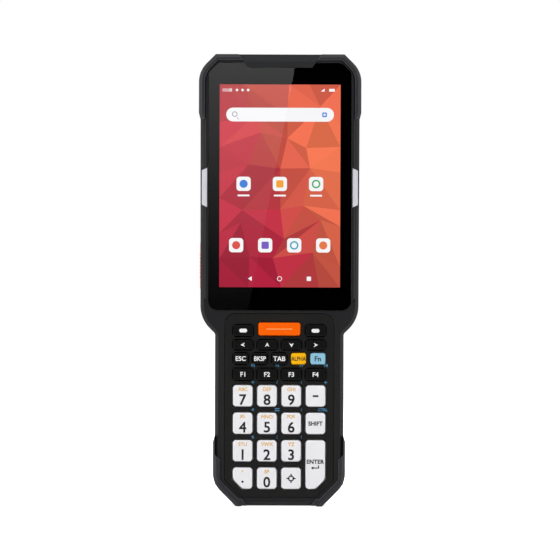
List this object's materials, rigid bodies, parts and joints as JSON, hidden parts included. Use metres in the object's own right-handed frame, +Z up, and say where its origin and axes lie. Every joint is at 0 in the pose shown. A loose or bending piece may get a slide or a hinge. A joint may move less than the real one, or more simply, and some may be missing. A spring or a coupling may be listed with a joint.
{
  "type": "portable barcode data terminal",
  "caption": "Hand-held data terminal with a touch display, push-button keypad, scanner head, removable battery and rubber bumpers.",
  "frame": {"origin": "centre of the footprint, on the surface that the two feet stand on", "axes": "+Z up along the height, -Y the way the screen faces, +X to the right as seen from the front"},
  "size_m": [0.0754, 0.031, 0.21],
  "materials": {
    "housing": "fine matt texture",
    "cowl": "satin",
    "bumper": "matt rubber",
    "panel": "matt",
    "cover_glass": "gloss, printed black border",
    "display": "lit display",
    "light_bar": "milky",
    "white_key": "satin",
    "black_key": "satin",
    "orange_key": "satin",
    "yellow_key": "satin",
    "blue_key": "satin",
    "mat": "matt",
    "board": "solder mask",
    "contact": "gold plated",
    "battery": "matt",
    "latch": "ribbed",
    "ring": "anodised",
    "lens": "coated",
    "flash": "milky",
    "speaker": "plain",
    "window": "dark red",
    "screw": "plain"
  },
  "bodies": {
    "terminal": {"front_housing": "housing", "rear_housing": "housing", "scanner_cowl": "cowl", "upper_bumper": "bumper", "lower_bumper": "bumper", "keypad_panel": "panel", "cover_glass": "cover_glass", "display_module": "display", "light_bar_left": "light_bar", "light_bar_right": "light_bar", "keypad_mat": "mat", "keypad_board": "board", "dome_switches": "contact", "main_board": "board", "battery_contacts": "contact", "camera_ring": "ring", "camera_lens": "lens", "flash_lens": "flash", "loudspeaker": "speaker", "port_socket": "screw", "scan_engine": "speaker", "scan_window": "window", "cradle_contacts": "contact", "housing_screws": "screw"},
    "key_7": {"key_7": "white_key"},
    "key_8": {"key_8": "white_key"},
    "key_9": {"key_9": "white_key"},
    "key_minus": {"key_minus": "white_key"},
    "key_4": {"key_4": "white_key"},
    "key_5": {"key_5": "white_key"},
    "key_6": {"key_6": "white_key"},
    "key_shift": {"key_shift": "white_key"},
    "key_1": {"key_1": "white_key"},
    "key_2": {"key_2": "white_key"},
    "key_3": {"key_3": "white_key"},
    "key_enter": {"key_enter": "white_key"},
    "key_point": {"key_point": "white_key"},
    "key_0": {"key_0": "white_key"},
    "key_centre": {"key_centre": "white_key"},
    "key_f1": {"key_f1": "black_key"},
    "key_f2": {"key_f2": "black_key"},
    "key_f3": {"key_f3": "black_key"},
    "key_f4": {"key_f4": "black_key"},
    "key_esc": {"key_esc": "black_key"},
    "key_backspace": {"key_backspace": "black_key"},
    "key_tab": {"key_tab": "black_key"},
    "key_arrow_left": {"key_arrow_left": "black_key"},
    "key_arrow_up": {"key_arrow_up": "black_key"},
    "key_arrow_down": {"key_arrow_down": "black_key"},
    "key_arrow_right": {"key_arrow_right": "black_key"},
    "key_soft_left": {"key_soft_left": "black_key"},
    "key_soft_right": {"key_soft_right": "black_key"},
    "key_scan": {"key_scan": "orange_key"},
    "key_alpha": {"key_alpha": "yellow_key"},
    "key_fn": {"key_fn": "blue_key"},
    "scan_button": {"side_scan_button": "orange_key"},
    "battery": {"battery_pack": "battery"},
    "latch": {"battery_latch": "latch"},
    "flap": {"port_flap": "bumper"}
  },
  "joints": [
    {"name": "key_7_press", "type": "slide", "parent": "terminal", "child": "key_7", "axis": [0, 1, 0], "range_m": [0, 0.001], "stiffness_N_per_m": 400},
    {"name": "key_8_press", "type": "slide", "parent": "terminal", "child": "key_8", "axis": [0, 1, 0], "range_m": [0, 0.001], "stiffness_N_per_m": 400},
    {"name": "key_9_press", "type": "slide", "parent": "terminal", "child": "key_9", "axis": [0, 1, 0], "range_m": [0, 0.001], "stiffness_N_per_m": 400},
    {"name": "key_minus_press", "type": "slide", "parent": "terminal", "child": "key_minus", "axis": [0, 1, 0], "range_m": [0, 0.001], "stiffness_N_per_m": 400},
    {"name": "key_4_press", "type": "slide", "parent": "terminal", "child": "key_4", "axis": [0, 1, 0], "range_m": [0, 0.001], "stiffness_N_per_m": 400},
    {"name": "key_5_press", "type": "slide", "parent": "terminal", "child": "key_5", "axis": [0, 1, 0], "range_m": [0, 0.001], "stiffness_N_per_m": 400},
    {"name": "key_6_press", "type": "slide", "parent": "terminal", "child": "key_6", "axis": [0, 1, 0], "range_m": [0, 0.001], "stiffness_N_per_m": 400},
    {"name": "key_shift_press", "type": "slide", "parent": "terminal", "child": "key_shift", "axis": [0, 1, 0], "range_m": [0, 0.001], "stiffness_N_per_m": 400},
    {"name": "key_1_press", "type": "slide", "parent": "terminal", "child": "key_1", "axis": [0, 1, 0], "range_m": [0, 0.001], "stiffness_N_per_m": 400},
    {"name": "key_2_press", "type": "slide", "parent": "terminal", "child": "key_2", "axis": [0, 1, 0], "range_m": [0, 0.001], "stiffness_N_per_m": 400},
    {"name": "key_3_press", "type": "slide", "parent": "terminal", "child": "key_3", "axis": [0, 1, 0], "range_m": [0, 0.001], "stiffness_N_per_m": 400},
    {"name": "key_enter_press", "type": "slide", "parent": "terminal", "child": "key_enter", "axis": [0, 1, 0], "range_m": [0, 0.001], "stiffness_N_per_m": 400},
    {"name": "key_point_press", "type": "slide", "parent": "terminal", "child": "key_point", "axis": [0, 1, 0], "range_m": [0, 0.001], "stiffness_N_per_m": 400},
    {"name": "key_0_press", "type": "slide", "parent": "terminal", "child": "key_0", "axis": [0, 1, 0], "range_m": [0, 0.001], "stiffness_N_per_m": 400},
    {"name": "key_centre_press", "type": "slide", "parent": "terminal", "child": "key_centre", "axis": [0, 1, 0], "range_m": [0, 0.001], "stiffness_N_per_m": 400},
    {"name": "key_f1_press", "type": "slide", "parent": "terminal", "child": "key_f1", "axis": [0, 1, 0], "range_m": [0, 0.001], "stiffness_N_per_m": 400},
    {"name": "key_f2_press", "type": "slide", "parent": "terminal", "child": "key_f2", "axis": [0, 1, 0], "range_m": [0, 0.001], "stiffness_N_per_m": 400},
    {"name": "key_f3_press", "type": "slide", "parent": "terminal", "child": "key_f3", "axis": [0, 1, 0], "range_m": [0, 0.001], "stiffness_N_per_m": 400},
    {"name": "key_f4_press", "type": "slide", "parent": "terminal", "child": "key_f4", "axis": [0, 1, 0], "range_m": [0, 0.001], "stiffness_N_per_m": 400},
    {"name": "key_esc_press", "type": "slide", "parent": "terminal", "child": "key_esc", "axis": [0, 1, 0], "range_m": [0, 0.001], "stiffness_N_per_m": 400},
    {"name": "key_backspace_press", "type": "slide", "parent": "terminal", "child": "key_backspace", "axis": [0, 1, 0], "range_m": [0, 0.001], "stiffness_N_per_m": 400},
    {"name": "key_tab_press", "type": "slide", "parent": "terminal", "child": "key_tab", "axis": [0, 1, 0], "range_m": [0, 0.001], "stiffness_N_per_m": 400},
    {"name": "key_arrow_left_press", "type": "slide", "parent": "terminal", "child": "key_arrow_left", "axis": [0, 1, 0], "range_m": [0, 0.001], "stiffness_N_per_m": 400},
    {"name": "key_arrow_up_press", "type": "slide", "parent": "terminal", "child": "key_arrow_up", "axis": [0, 1, 0], "range_m": [0, 0.001], "stiffness_N_per_m": 400},
    {"name": "key_arrow_down_press", "type": "slide", "parent": "terminal", "child": "key_arrow_down", "axis": [0, 1, 0], "range_m": [0, 0.001], "stiffness_N_per_m": 400},
    {"name": "key_arrow_right_press", "type": "slide", "parent": "terminal", "child": "key_arrow_right", "axis": [0, 1, 0], "range_m": [0, 0.001], "stiffness_N_per_m": 400},
    {"name": "key_soft_left_press", "type": "slide", "parent": "terminal", "child": "key_soft_left", "axis": [0, 1, 0], "range_m": [0, 0.001], "stiffness_N_per_m": 400},
    {"name": "key_soft_right_press", "type": "slide", "parent": "terminal", "child": "key_soft_right", "axis": [0, 1, 0], "range_m": [0, 0.001], "stiffness_N_per_m": 400},
    {"name": "key_scan_press", "type": "slide", "parent": "terminal", "child": "key_scan", "axis": [0, 1, 0], "range_m": [0, 0.001], "stiffness_N_per_m": 400},
    {"name": "key_alpha_press", "type": "slide", "parent": "terminal", "child": "key_alpha", "axis": [0, 1, 0], "range_m": [0, 0.001], "stiffness_N_per_m": 400},
    {"name": "key_fn_press", "type": "slide", "parent": "terminal", "child": "key_fn", "axis": [0, 1, 0], "range_m": [0, 0.001], "stiffness_N_per_m": 400},
    {"name": "scan_button_press", "type": "slide", "parent": "terminal", "child": "scan_button", "axis": [1, 0, 0], "range_m": [0, 0.0008], "stiffness_N_per_m": 600},
    {"name": "battery_lift", "type": "slide", "parent": "terminal", "child": "battery", "axis": [0, 1, 0], "range_m": [0, 0.03]},
    {"name": "latch_slide", "type": "slide", "parent": "terminal", "child": "latch", "axis": [0, 0, -1], "range_m": [0, 0.0025], "stiffness_N_per_m": 300},
    {"name": "flap_hinge", "type": "hinge", "parent": "terminal", "child": "flap", "pos_m": [0.03605, 0.002, 0.1024], "axis": [0, 1, 0], "range_deg": [0, 95]}
  ]
}
